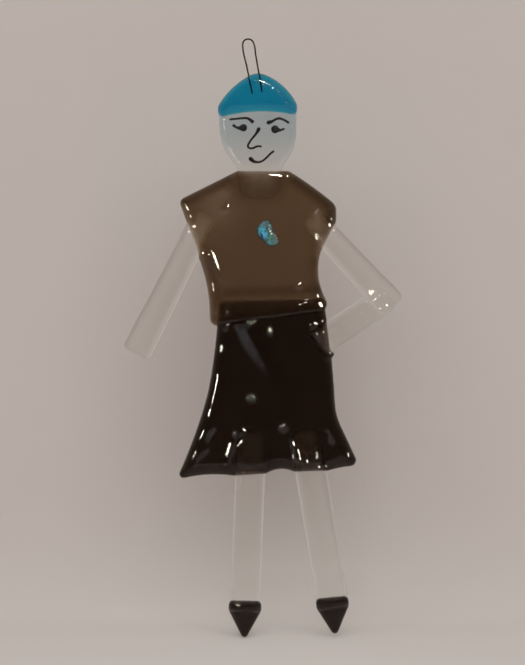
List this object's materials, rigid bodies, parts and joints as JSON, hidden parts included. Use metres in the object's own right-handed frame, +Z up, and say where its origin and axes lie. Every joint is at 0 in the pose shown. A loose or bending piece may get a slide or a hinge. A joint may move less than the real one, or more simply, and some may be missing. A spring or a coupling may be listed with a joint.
{
  "type": "fused glass lady figure",
  "caption": "Flat kiln-fused sheet-glass figure of a lady with a painted face, bronze bodice, dark skirt, clear limbs and a wire loop at the crown to hang it by.",
  "frame": {"origin": "inner top of the wire loop, where it bears on a hook", "axes": "+Z up towards the loop, front with the painted face towards -Y, flat back towards +Y, +X to the right as seen from the front"},
  "size_m": [0.1167, 0.0063, 0.2518],
  "materials": {
    "clear_glass": "clear, fire-polished",
    "turquoise_glass": "transparent turquoise, fire-polished",
    "bronze_glass": "transparent bronze, fire-polished",
    "dark_bronze_glass": "deep bronze, nearly black, fire-polished",
    "dichroic_glass": "blue to teal dichroic film on glass",
    "black_enamel": "fired glass enamel, glossy",
    "oxidised_wire": "kiln-oxidised, dark brown"
  },
  "bodies": {
    "root": {"head": "clear_glass", "cap": "turquoise_glass", "hanging_loop": "oxidised_wire", "left_brow": "black_enamel", "right_brow": "black_enamel", "left_eye": "black_enamel", "right_eye": "black_enamel", "nose_line": "black_enamel", "mouth_line": "black_enamel", "bodice": "bronze_glass", "brooch": "dichroic_glass", "skirt": "dark_bronze_glass", "straight_arm": "clear_glass", "upper_arm": "clear_glass", "forearm": "clear_glass", "left_leg": "clear_glass", "right_leg": "clear_glass", "left_shoe": "dark_bronze_glass", "right_shoe": "dark_bronze_glass"}
  },
  "joints": []
}
